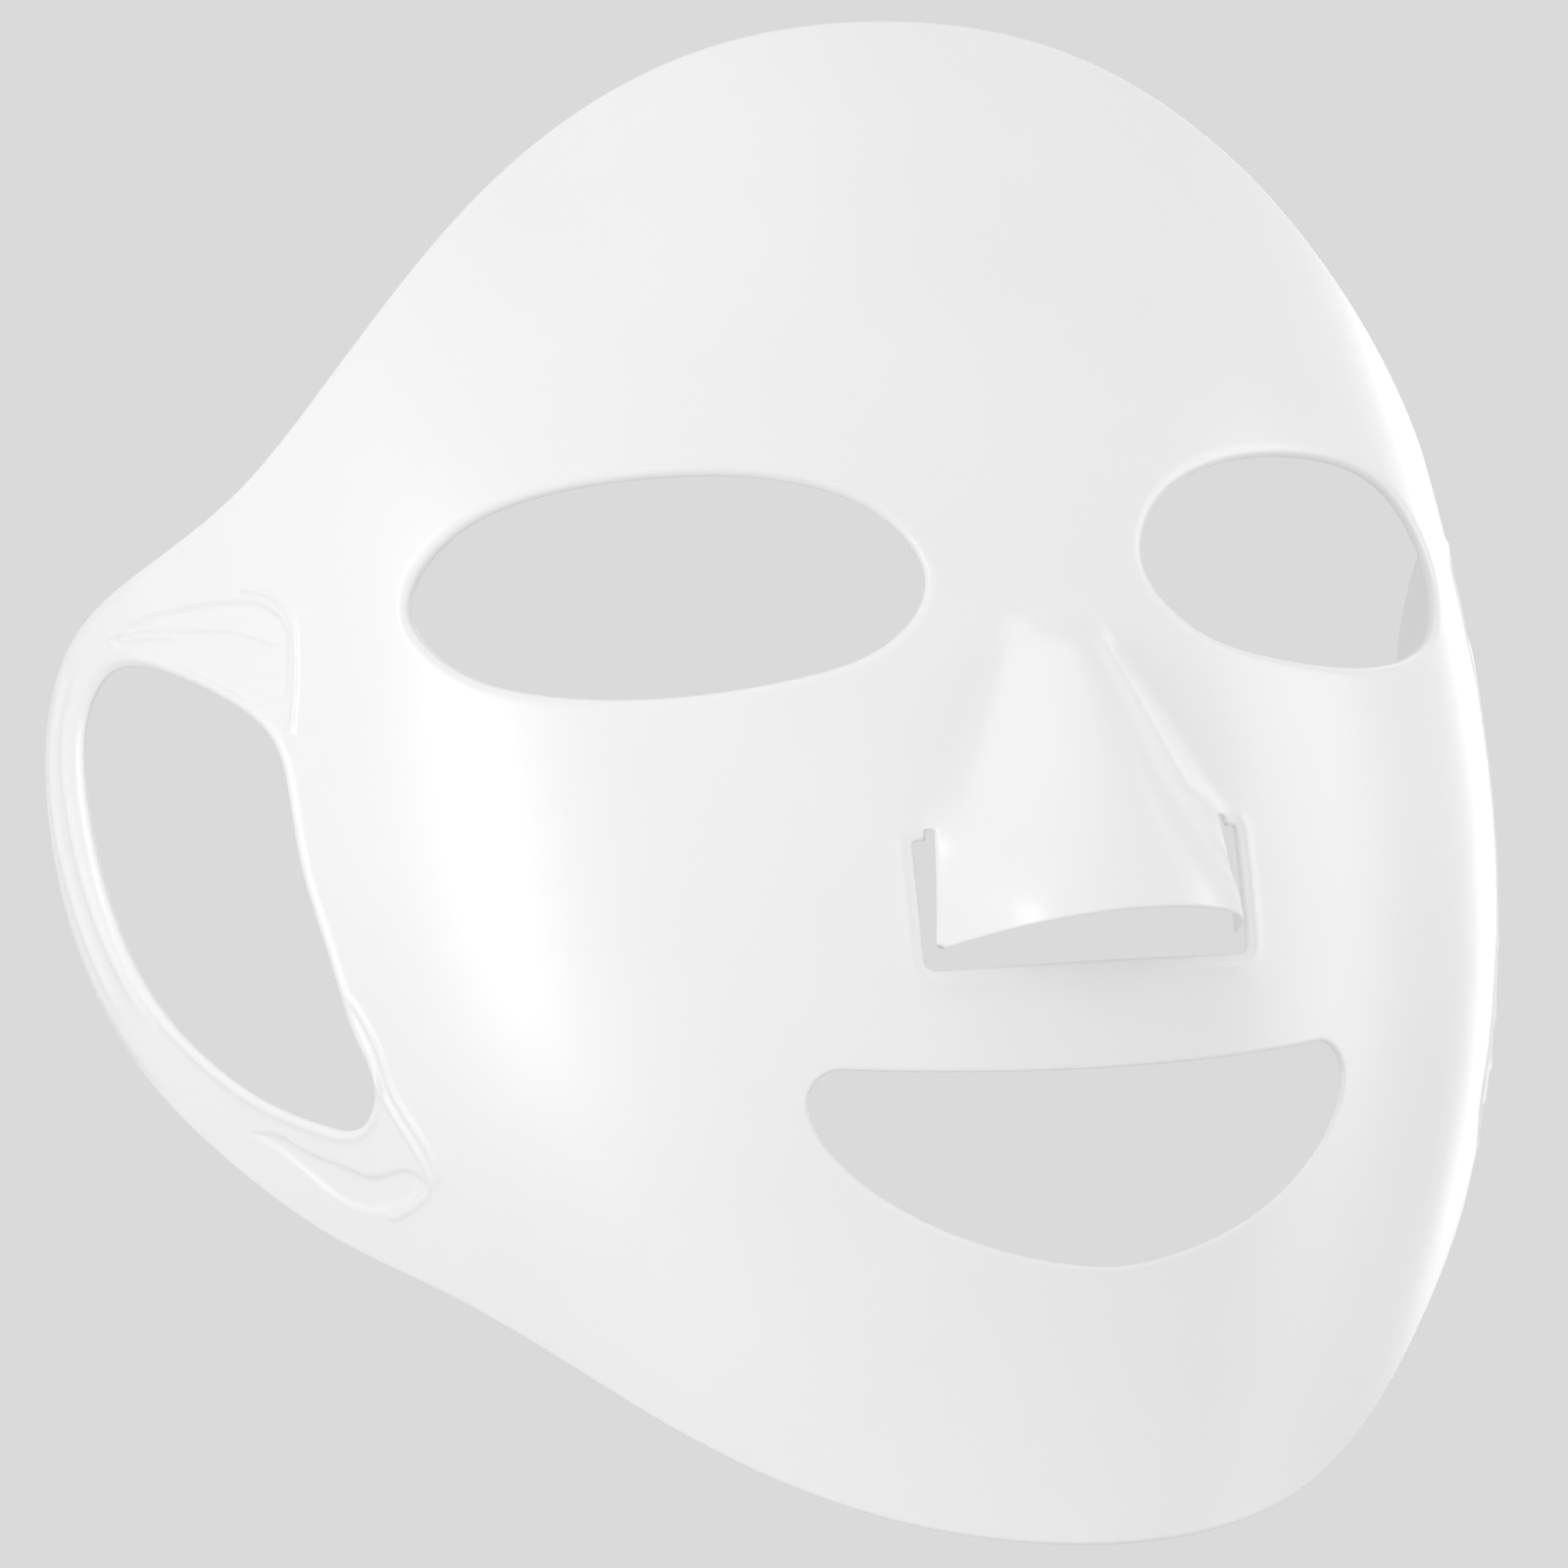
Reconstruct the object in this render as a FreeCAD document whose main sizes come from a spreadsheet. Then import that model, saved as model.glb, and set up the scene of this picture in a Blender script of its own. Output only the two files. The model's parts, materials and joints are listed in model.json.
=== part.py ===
import FreeCAD, Part

# Moulded silicone face mask with two ear loops in one with it.
#
# The mask is one thin sheet.  It is laid out first as a flat pattern: "across" is the
# distance along the sheet from the middle line and z is the height.  Every outline is
# drawn in that pattern and then wrapped on the curved skin surface, so each region of
# the sheet keeps walls that stand square to the surface.
#
# Frame: the wearer faces -Y, +Z is up, +X is the wearer's left.  The origin is the skin
# side of the sheet on the middle line, level with the eyes.

import math
import os

from FreeCAD import Base, Vector

DIMENSIONS = [
    # alias, value, meaning (mm unless it says otherwise)
    ("sheet_thickness", 1.0, "thickness of the moulded sheet"),
    ("rim_thickness", 1.6, "thickness of the turned lip round each eye"),
    ("rim_width", 2.4, "width of that lip"),
    ("web_thickness", 0.6, "thin recessed web inside each ear-loop arm"),
    ("rib_height", 0.5, "height of the ribs and ridges above what they stand on"),
    ("band_thickness", 1.8, "thickness of the ear band"),
    ("turn_side", 84.4, "heading of the sheet at the ears, degrees"),
    ("turn_length", 160.0, "distance from the middle line over which the sheet turns"),
    ("turn_sharpness", 6.0, "how suddenly the turning stops"),
    ("curl_start", 118.0, "where the ear loops begin to curl inward"),
    ("curl", 8.0, "how much they have turned 50 mm further on, degrees"),
    ("nose_half_width", 23.0, "half width of the nose at its foot"),
    ("nose_top_half_width", 6.0, "half width of the nose ridge at its top"),
    ("nose_rise", 20.0, "how far the hood stands proud at its lower end"),
    ("nose_top_height", 0.0, "height where the nose ridge starts"),
    ("hood_hinge_height", -31.2, "height of the line on which the hood lifts"),
    ("hood_corner_height", -49.5, "height of the hood's lower corners"),
    ("hood_top_half_width", 22.2, "half width of the hood at its top"),
    ("hood_bottom_half_width", 23.6, "half width of the hood at its lower corners"),
    ("hood_arch_rise", 2.3, "rise of the hood's arched lower edge"),
    ("slot_half_width", 25.4, "half width of the slot round the hood"),
    ("slot_bottom_height", -52.3, "height of the slot's lower edge"),
    ("slot_corner_radius", 1.8, "radius of the slot's lower corners"),
    ("mouth_half_width", 43.3, "half width of the mouth opening"),
    ("mouth_top_height", -67.5, "height of the mouth's upper edge at the middle"),
    ("mouth_corner_lift", 2.4, "how much higher the mouth's corners are"),
    ("mouth_bottom_height", -95.5, "height of the mouth's lower edge at the middle"),
    ("fold_across", 109.0, "place of the ear-loop fold line at the origin's height"),
    ("fold_slant", 0.149, "how far the fold line moves outward for each mm of height"),
    ("fold_width", 5.0, "width of the flexing strip on the fold line"),
    ("cut_depth", 7.0, "depth of the cutting solids"),
]

# Half of the outer edge, from the middle of the forehead round the ear loop to the chin.
OUTLINE = [(0, 90.6), (27.7, 87), (47.3, 79), (65.7, 67.3), (81.9, 54.2), (98.7, 40), (117, 27.1),
           (140.6, 18), (160, 10.2), (172.2, -1.5), (175.8, -14.1), (171.2, -34.1), (158, -52.8),
           (139.5, -68.5), (120, -81.3), (99.2, -91.6), (81.3, -102.4), (64.8, -113.2),
           (47.9, -122.6), (30.2, -129.7), (0, -134.5)]

# Left-hand openings; the right-hand ones are their mirror images.
EYE = [(92.2, 5), (85.4, 14.8), (71.1, 20.4), (51.2, 21.8), (31.9, 19.1), (20.4, 12.3), (17.2, 4.5),
       (23.2, -4.2), (37, -9), (56, -10.4), (75.7, -7.9), (88.8, -1.2)]
EYE_CENTRE = (53.0, 5.0)
EAR_HOLE = [(162.6, -15), (160.2, -3), (150.4, 4.5), (137.9, 2.9), (126.5, -2.7), (118.7, -10),
            (117.4, -19), (116.8, -30), (114.1, -42), (111.1, -53.4), (108.9, -61.5), (111.5, -65.8),
            (119, -65.2), (130.7, -60.3), (141.1, -53.6), (149.9, -45.8), (157.4, -35)]

# Thin recessed webs inside the two arms of the left-hand ear loop, and the upper one's rib.
UPPER_WEB = [(146, 9.1), (137.6, 11.4), (127, 12.7), (119.5, 11.8), (114.9, 6.5), (115.3, -3.6),
             (118.5, -5), (123.5, -2.4), (135.7, 3.6)]
LOWER_WEB = [(109.5, -68.5), (104, -71), (101.5, -74.8), (104, -78), (110, -78.8), (121, -74.2),
             (133, -66.4), (121, -67.6)]
WEB_RIBS = [[(142, 9.2), (129, 8), (117, 5.2)]]
BAND_RIDGES = [[(162.5, 4.5), (169.3, -5), (171, -16), (166.3, -32.5), (158, -47.6)],
               [(158.5, 4.2), (164.4, -3), (166.2, -16), (161.8, -32), (153, -46.5)]]
RIDGE_HALF_WIDTH = 0.7
RIB_HALF_WIDTH = 0.35

MOUTH_CORNER_RADIUS = 4.8
MOUTH_POWER = 1.2        # 2 over the exponent of the lower lip's superellipse
NOSE_TOP = 2.0           # height where the nose piece meets the plain sheet
HOOD_STRIP_HALF = 1.3    # half height of the strip on which the hood lifts
ARM_END = 148.0          # the upper arm ends here and the band begins a neck further on
NECK = 5.0

doc = FreeCAD.newDocument("face_mask")
sheet = doc.addObject("Spreadsheet::Sheet", "dimensions")
for row, (alias, value, meaning) in enumerate(DIMENSIONS, start=1):
    sheet.set("A%d" % row, alias)
    sheet.set("B%d" % row, str(value))
    sheet.set("C%d" % row, meaning)
    sheet.setAlias("B%d" % row, alias)
doc.recompute()


def dim(alias):
    """Value of one driving dimension."""
    return float(sheet.get(alias))


# ---------------------------------------------------------------- the skin surface

REACH = 100.0            # height that makes the level polynomials' argument 1
TURN_SIDE_BY_LEVEL = (14.2, -4.4, -6.6)         # added to turn_side, degrees
TURN_LENGTH_BY_LEVEL = (31.0, -18.0, 9.0)       # added to turn_length
DEPTH_BY_LEVEL = (25.9, 27.6, 0.0, -6.4, -0.9)  # depth of the middle line
SECTION_STEPS = 24       # steps used to add up a level section from the middle line
NORMAL_STEP = 0.5        # step of the finite differences that give the normal
CURL_LENGTH = 50.0       # distance over which the ear loops turn by the angle curl
RAMP_POWER = 0.7         # how early the ridge of the nose rises
SOFT_START = 9.0         # height over which it leaves the plain sheet
ROUND_POWER = 2.6        # how full the section is round the nostrils
CREASE = 0.2             # softness of the crease at the foot of the nose
RIDGE_WIDTH = 0.85       # width of the sharper section of the bridge, as a share of the foot's
RIDGE_SHARE = 0.9        # how much of the bridge's section is the sharper one
ROUND_HEIGHT = 3.5       # the hood's fully round part, above its corners
CHANGE_HEIGHT = 20.0     # height over which the round section turns into the bridge's


def polynomial(coefficients, value):
    """Polynomial without a constant term."""
    return sum(factor * value ** power for power, factor in enumerate(coefficients, start=1))


def heading(across, z):
    """Direction of a level section of the sheet, in radians from straight across."""
    level = z / REACH
    side = math.radians(TURN_SIDE + polynomial(TURN_SIDE_BY_LEVEL, level))
    part = across / (TURN_LENGTH + polynomial(TURN_LENGTH_BY_LEVEL, level))
    curled = max(0.0, across - CURL_START) / CURL_LENGTH
    turned = side * part / (1.0 + part ** TURN_SHARPNESS) ** (1.0 / TURN_SHARPNESS)
    return turned + math.radians(CURL) * curled ** 2


def middle_line(z):
    """Depth of the middle line: the brow and the chin lean back from the mouth."""
    return polynomial(DEPTH_BY_LEVEL, z / REACH)


def sheet_point(across, z):
    """Point of the plain sheet's skin side."""
    distance = abs(across)
    step = distance / SECTION_STEPS
    x = 0.0
    y = middle_line(z)
    for index in range(SECTION_STEPS):
        angle = heading(step * (index + 0.5), z)
        x += step * math.cos(angle)
        y += step * math.sin(angle)
    return Vector(math.copysign(x, across), y, z)


def surface_normal(point_at, across, z):
    """Unit normal on the outer side of a surface given as a function of the pattern."""
    along = point_at(across + NORMAL_STEP, z) - point_at(across - NORMAL_STEP, z)
    up = point_at(across, z + NORMAL_STEP) - point_at(across, z - NORMAL_STEP)
    return along.cross(up).normalize()


def ease(value):
    """Smooth step from 0 to 1."""
    value = min(1.0, max(0.0, value))
    return value * value * (3.0 - 2.0 * value)


def nose_section(part, below_top, above_corner):
    """Height of a level section of the nose, 1 at the ridge and 0 at the foot."""
    full = 1.0 - part ** ROUND_POWER
    if full <= -CREASE:
        return 0.0
    if full < CREASE:
        full = (full + CREASE) ** 2 / (4.0 * CREASE)
    sharp = max(0.0, 1.0 - (part / RIDGE_WIDTH) ** 2) ** 2
    share = RIDGE_SHARE * ease(below_top / SOFT_START) * ease((above_corner - ROUND_HEIGHT) / CHANGE_HEIGHT)
    return sharp * share + full * (1.0 - share)


def nose_relief(across, z):
    """How far the nose stands proud of the plain sheet."""
    below_top = dim("nose_top_height") - z
    if below_top <= 0.0:
        return 0.0
    grown = min(1.0, below_top / (dim("nose_top_height") - dim("hood_hinge_height")))
    half_width = dim("nose_top_half_width") * (1.0 - grown) + dim("nose_half_width") * grown
    ramp = below_top / (dim("nose_top_height") - dim("hood_corner_height"))
    ridge = dim("nose_rise") * ramp ** RAMP_POWER * ease(below_top / SOFT_START)
    return ridge * nose_section(abs(across) / half_width, below_top, z - dim("hood_corner_height"))


def nose_point(across, z):
    """Point of the skin side with the nose raised on it."""
    point = sheet_point(across, z)
    return point + surface_normal(sheet_point, across, z) * nose_relief(across, z)


def spread(first, last, count):
    """Evenly spaced values from first to last."""
    return [first + (last - first) * index / (count - 1) for index in range(count)]


def interpolated(points, parameters):
    """Cubic spline through points at given parameters."""
    curve = Part.BSplineCurve()
    curve.interpolate(Points=points, Parameters=parameters)
    return curve


def wrapped_surface(point_at, height, acrosses, levels):
    """B-spline surface, `height` above the skin side, whose u and v are the pattern's."""
    rows = []
    for z in levels:
        row_points = [point_at(across, z) + surface_normal(point_at, across, z) * height
                      for across in acrosses]
        rows.append(interpolated(row_points, acrosses))
    columns = [interpolated([row.getPole(index) for row in rows], levels)
               for index in range(1, rows[0].NbPoles + 1)]
    surface = Part.BSplineSurface()
    surface.buildFromPolesMultsKnots(
        [column.getPoles() for column in columns],
        rows[0].getMultiplicities(), columns[0].getMultiplicities(),
        rows[0].getKnots(), columns[0].getKnots(), False, False, 3, 3)
    return surface


TURN_SIDE = dim("turn_side")
TURN_LENGTH = dim("turn_length")
TURN_SHARPNESS = dim("turn_sharpness")
CURL_START = dim("curl_start")
CURL = dim("curl")
SHEET_GRID = (spread(-190, 190, 49), spread(-148, 104, 37))
NOSE_GRID = (spread(-32, 32, 65), spread(-62, 16, 53))
UNDER_CUT = -3.0         # cutting solids start this far inside the skin side

skin = wrapped_surface(sheet_point, 0.0, *SHEET_GRID)
under = wrapped_surface(sheet_point, UNDER_CUT, *SHEET_GRID)
on_web = wrapped_surface(sheet_point, dim("web_thickness"), *SHEET_GRID)
on_band = wrapped_surface(sheet_point, dim("band_thickness"), *SHEET_GRID)
nose_skin = wrapped_surface(nose_point, 0.0, *NOSE_GRID)


# ---------------------------------------------------------------- outlines in the pattern

def flat(point, side=1):
    """Pattern point on the wearer's left (side 1) or right (side -1)."""
    return Vector(side * point[0], point[1], 0.0)


def smooth_edge(points, side=1, closed=False):
    """Smooth edge through pattern points."""
    curve = Part.BSplineCurve()
    curve.interpolate(Points=[flat(point, side) for point in points], PeriodicFlag=closed)
    return curve.toShape()


def smooth_face(points, side=1):
    """Region of the pattern inside a closed smooth outline."""
    return Part.Face(Part.Wire([smooth_edge(points, side, closed=True)]))


def corner_face(corners, side=1):
    """Region of the pattern inside straight lines."""
    points = [flat(corner, side) for corner in corners]
    return Part.Face(Part.makePolygon(points + points[:1]))


def ribbon_face(points, half_width, side=1):
    """Region of the pattern covered by a narrow strip that follows the points."""
    last = len(points) - 1
    outer = []
    inner = []
    for index, (across, z) in enumerate(points):
        before = points[max(index - 1, 0)]
        after = points[min(index + 1, last)]
        run = (after[0] - before[0], after[1] - before[1])
        length = math.hypot(*run)
        shift = (-run[1] / length * half_width, run[0] / length * half_width)
        outer.append((across + shift[0], z + shift[1]))
        inner.append((across - shift[0], z - shift[1]))
    inner.reverse()
    return Part.Face(Part.Wire([
        smooth_edge(outer, side), Part.makeLine(flat(outer[-1], side), flat(inner[0], side)),
        smooth_edge(inner, side), Part.makeLine(flat(inner[-1], side), flat(outer[0], side))]))


def grown(points, centre, width):
    """Outline moved outward from its centre by a width."""
    moved = []
    for across, z in points:
        reach = math.hypot(across - centre[0], z - centre[1])
        scale = 1.0 + width / reach
        moved.append((centre[0] + (across - centre[0]) * scale, centre[1] + (z - centre[1]) * scale))
    return moved


def mouth_face():
    """Half moon: nearly straight upper lip, round corners, superellipse below."""
    half = dim("mouth_half_width")
    top = dim("mouth_top_height")
    lifted = top + dim("mouth_corner_lift")
    radius = MOUTH_CORNER_RADIUS
    corner = lifted - radius
    drop = corner - dim("mouth_bottom_height")
    cut = radius * (1.0 - math.sqrt(0.5))
    turns = [math.radians(angle) for angle in (10, 25, 42, 58, 74)]
    bow = [(half * math.cos(turn) ** MOUTH_POWER, corner - drop * math.sin(turn) ** MOUTH_POWER)
           for turn in turns]
    bow = [(half, corner)] + bow + [(0, corner - drop)]
    bow += [(-across, z) for across, z in bow[-2::-1]]
    edges = [smooth_edge(bow),
             Part.Arc(flat((-half + radius, lifted)), flat((0, top)),
                      flat((half - radius, lifted))).toShape()]
    for side in (-1, 1):
        edges.append(Part.Arc(flat((half, corner), side), flat((half - cut, lifted - cut), side),
                              flat((half - radius, lifted), side)).toShape())
    return Part.Face(Part.Wire(Part.__sortEdges__(edges)))


def nose_slot_face():
    """Nose opening in the sheet: a round-cornered slot below, tapering to the ridge's top."""
    half = dim("slot_half_width")
    top_half = dim("nose_top_half_width") * 2.0
    bottom = dim("slot_bottom_height")
    radius = dim("slot_corner_radius")
    hinge = dim("hood_hinge_height")
    cut = radius * (1.0 - math.sqrt(0.5))
    edges = []
    for side in (-1, 1):
        edges.append(Part.makeLine(flat((top_half, NOSE_TOP), side), flat((half, hinge), side)))
        edges.append(Part.makeLine(flat((half, hinge), side), flat((half, bottom + radius), side)))
        edges.append(Part.Arc(flat((half, bottom + radius), side), flat((half - cut, bottom + cut), side),
                              flat((half - radius, bottom), side)).toShape())
    edges.append(Part.makeLine(flat((-half + radius, bottom)), flat((half - radius, bottom))))
    edges.append(Part.makeLine(flat((-top_half, NOSE_TOP)), flat((top_half, NOSE_TOP))))
    return Part.Face(Part.Wire(Part.__sortEdges__(edges)))


def hood_face():
    """Nose hood: straight sides and an arched lower edge."""
    half = dim("hood_bottom_half_width")
    top_half = dim("hood_top_half_width")
    top = dim("hood_hinge_height") - HOOD_STRIP_HALF
    corner = dim("hood_corner_height")
    rise = dim("hood_arch_rise")
    arch = [(half * part, corner + rise * (1.0 - part * part)) for part in (-1.0, -0.5, 0.0, 0.5, 1.0)]
    edges = [smooth_edge(arch), Part.makeLine(flat((half, corner)), flat((top_half, top))),
             Part.makeLine(flat((top_half, top)), flat((-top_half, top))),
             Part.makeLine(flat((-top_half, top)), flat((-half, corner)))]
    return Part.Face(Part.Wire(edges))


def fold(z):
    """Place of the fold line at a height."""
    return dim("fold_across") + dim("fold_slant") * z


# ---------------------------------------------------------------- from pattern to solid

def wrapped_edge(edge, surface):
    """Pattern edge laid on a wrapped surface."""
    if isinstance(edge.Curve, Part.Line):
        ends = [Base.Vector2d(vertex.X, vertex.Y) for vertex in edge.Vertexes]
        return Part.Geom2d.Line2dSegment(*ends).toShape(surface)
    spline = edge.Curve.toBSpline(edge.FirstParameter, edge.LastParameter)
    laid = Part.Geom2d.BSplineCurve2d()
    laid.buildFromPolesMultsKnots([Base.Vector2d(pole.x, pole.y) for pole in spline.getPoles()],
                                  spline.getMultiplicities(), spline.getKnots(), spline.isPeriodic(),
                                  spline.Degree)
    return laid.toShape(surface)


def plate(name, region, surface, thickness):
    """Solid of a bound thickness that stands on a wrapped surface over a pattern region."""
    edges = [wrapped_edge(edge, surface) for edge in region.Faces[0].OuterWire.OrderedEdges]
    patch = doc.addObject("Part::Feature", name + "_patch")
    patch.Shape = Part.Face(surface, Part.Wire(edges))
    solid = doc.addObject("Part::Offset", name)
    solid.Source = patch
    solid.setExpression("Value", "<<dimensions>>." + thickness)
    solid.Fill = True
    solid.Label = name
    return solid


def pierced_plate(name, region, hole, surface, thickness):
    """Plate with a hole cut square through it."""
    blank = plate(name + "_blank", region, surface, thickness)
    result = doc.addObject("Part::Cut", name)
    result.Base = blank
    result.Tool = plate(name + "_hole", hole, under, "cut_depth")
    result.Label = name
    return result


def sheet_node(name, region):
    """Node of plain sheet thickness over a pattern region."""
    nodes.append(plate(name, region, skin, "sheet_thickness"))


SIDES = (("right", -1), ("left", 1))
ALL = 200.0              # reaches past the outer edge on every side
nodes = []


# ---------------------------------------------------------------- the flat pattern

def flat_sheet():
    """Whole sheet laid flat, with all its openings."""
    edge = OUTLINE + [(-across, z) for across, z in OUTLINE[-2:0:-1]]
    openings = [mouth_face(), nose_slot_face()]
    for _, side in SIDES:
        openings.append(smooth_face(EYE_SEAT, side))
        openings.append(smooth_face(EAR_HOLE, side))
    return smooth_face(edge).cut(openings)


def fold_strip_corners():
    """The flexing strip's two parts, above and below the ear hole."""
    half = dim("fold_width") / 2.0
    upper = [(fold(45) - half, 45), (fold(-12) - half, -12), (124, -12), (124, -8),
             (fold(-8) + half, -8), (fold(45) + half, 45)]
    lower = [(fold(-61) - half, -61), (fold(-110) - half, -110), (fold(-110) + half, -110),
             (fold(-65) + half, -65), (113, -65), (113, -61)]
    return upper, lower


def ear_side_face(side):
    """Everything behind the fold line, with the ear hole's front edge left on the face."""
    half = dim("fold_width") / 2.0
    corners = [(fold(45) - half, 45), (fold(-12) - half, -12), (124, -12), (124, -61),
               (fold(-61) - half, -61), (fold(-110) - half, -110), (ALL, -110), (ALL, 45)]
    return corner_face(corners, side)


# ---------------------------------------------------------------- the face

def build_face(pattern):
    """Anatomical regions of the face sheet."""
    face = pattern.cut([ear_side_face(side) for _, side in SIDES])
    mouth_side = dim("mouth_half_width") + 4.7
    brow, eye_line, slot, lip = 20.0, 2.0, dim("slot_bottom_height"), -68.5
    chin = dim("mouth_bottom_height")
    sheet_node("forehead", face.common(corner_face([(-ALL, brow), (ALL, brow), (ALL, ALL), (-ALL, ALL)])))
    sheet_node("glabella", face.common(corner_face([(-40, eye_line), (40, eye_line), (40, brow), (-40, brow)])))
    sheet_node("upper_lip", face.common(corner_face([(-mouth_side, slot), (mouth_side, slot),
                                                     (mouth_side, lip), (-mouth_side, lip)])))
    sheet_node("chin", face.common(corner_face([(-mouth_side, chin), (mouth_side, chin),
                                                (mouth_side, -ALL), (-mouth_side, -ALL)])))
    regions = [("temple_", [(60, eye_line), (ALL, eye_line), (ALL, brow), (60, brow)]),
               ("inner_cheek_", [(2, eye_line), (48, eye_line), (48, slot), (2, slot)]),
               ("outer_cheek_", [(48, eye_line), (ALL, eye_line), (ALL, slot), (48, slot)]),
               ("jaw_", [(mouth_side, slot), (ALL, slot), (ALL, -ALL), (mouth_side, -ALL),
                         (mouth_side, chin), (0, chin), (0, lip), (mouth_side, lip)])]
    for side_name, side in SIDES:
        for prefix, corners in regions:
            sheet_node(prefix + side_name, face.common(corner_face(corners, side)))


def build_eye_lips():
    """Turned lip round each eye opening."""
    for side_name, side in SIDES:
        nodes.append(pierced_plate("eye_lip_" + side_name, smooth_face(EYE_SEAT, side),
                                   smooth_face(EYE, side), skin, "rim_thickness"))


def build_nose():
    """Nose bridge on the face, the strip on which the hood lifts, and the hood."""
    hinge = dim("hood_hinge_height")
    half = dim("slot_half_width")
    top_half = dim("nose_top_half_width") * 2.0
    slope = (half - top_half) / (NOSE_TOP - hinge)
    above = (half - slope * HOOD_STRIP_HALF, hinge + HOOD_STRIP_HALF)
    beside = (half, hinge)
    below = (half, hinge - HOOD_STRIP_HALF)
    bridge = [(-top_half, NOSE_TOP), (-above[0], above[1]), above, (top_half, NOSE_TOP)]
    strip = [(-above[0], above[1]), (-beside[0], beside[1]), (-below[0], below[1]), below, beside, above]
    nodes.append(plate("nose_bridge", corner_face(bridge), nose_skin, "sheet_thickness"))
    nodes.append(plate("hood_flex_strip", corner_face(strip), nose_skin, "sheet_thickness"))
    nodes.append(plate("nose_hood", hood_face(), nose_skin, "sheet_thickness"))


# ---------------------------------------------------------------- the ear loops

UPPER_ARM = [(ARM_END, 45), (90, 45), (90, -30), (ARM_END, -30)]
UPPER_NECK = [(ARM_END, 45), (ARM_END, -3), (ARM_END + NECK, -3), (ARM_END + NECK, 45)]
LOWER_ARM = [(90, -60), (126, -40), (156, -70), (156, -110), (90, -110)]
LOWER_NECK = [(126, -40), (156, -70), (160, -66), (130, -36)]
BAND = [(ARM_END + NECK, 45), (ARM_END + NECK, -13), (130, -36), (160, -66), (ALL, -66), (ALL, 45)]


def build_ear_loop(pattern, side_name, side):
    """Arms with their webs, necks, band and flexing strips of one ear loop."""
    loop = pattern.common(ear_side_face(side))
    strips = [corner_face(corners, side) for corners in fold_strip_corners()]
    free = loop.cut(strips)
    for level, strip, arm, neck, web in (("upper", strips[0], UPPER_ARM, UPPER_NECK, UPPER_WEB),
                                         ("lower", strips[1], LOWER_ARM, LOWER_NECK, LOWER_WEB)):
        web_face = smooth_face(web, side)
        sheet_node("%s_fold_strip_%s" % (level, side_name), loop.common(strip))
        sheet_node("%s_neck_%s" % (level, side_name), free.common(corner_face(neck, side)))
        nodes.append(pierced_plate("%s_arm_%s" % (level, side_name), free.common(corner_face(arm, side)),
                                   web_face, skin, "sheet_thickness"))
        nodes.append(plate("%s_web_%s" % (level, side_name), web_face, skin, "web_thickness"))
    nodes.append(plate("ear_band_" + side_name, free.common(corner_face(BAND, side)), skin, "band_thickness"))


def build_ribs(side_name, side):
    """Fine rib on the upper web and the two ridges along the band."""
    for number, points in enumerate(WEB_RIBS, start=1):
        nodes.append(plate("web_rib_%d_%s" % (number, side_name), ribbon_face(points, RIB_HALF_WIDTH, side),
                           on_web, "rib_height"))
    for place, points in zip(("outer", "inner"), BAND_RIDGES):
        nodes.append(plate("band_%s_ridge_%s" % (place, side_name),
                           ribbon_face(points, RIDGE_HALF_WIDTH, side), on_band, "rib_height"))


# ---------------------------------------------------------------- build and write

EYE_SEAT = grown(EYE, EYE_CENTRE, dim("rim_width"))
pattern = flat_sheet()
build_face(pattern)
build_eye_lips()
build_nose()
for side_name, side in SIDES:
    build_ear_loop(pattern, side_name, side)
    build_ribs(side_name, side)
doc.recompute()

for item in doc.Objects:
    if "Invalid" in item.State or "Error" in item.State:
        raise RuntimeError("%s failed: %s" % (item.Name, item.State))

os.makedirs("parts", exist_ok=True)
for node in nodes:
    shape = node.Shape
    if shape.isNull() or not shape.isValid() or len(shape.Solids) != 1:
        raise RuntimeError("%s is not one valid solid" % node.Label)
    shape.exportStep("parts/%s.step" % node.Label)
    print("%-26s %9.1f mm3" % (node.Label, shape.Volume))

for side_name, side in SIDES:
    for level, z in (("upper", 11.0), ("lower", -78.0)):
        point = sheet_point(side * fold(z), z)
        print("%s fold centre, %s: %.2f %.2f %.2f" % (level, side_name, point.x, point.y, point.z))
crown = nose_point(0.0, dim("hood_hinge_height"))
print("hood crown: %.2f %.2f %.2f" % (crown.x, crown.y, crown.z))
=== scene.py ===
import json
import math

import bpy
import numpy as np
from mathutils import Matrix, Vector, kdtree
from mathutils.geometry import delaunay_2d_cdt


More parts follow.
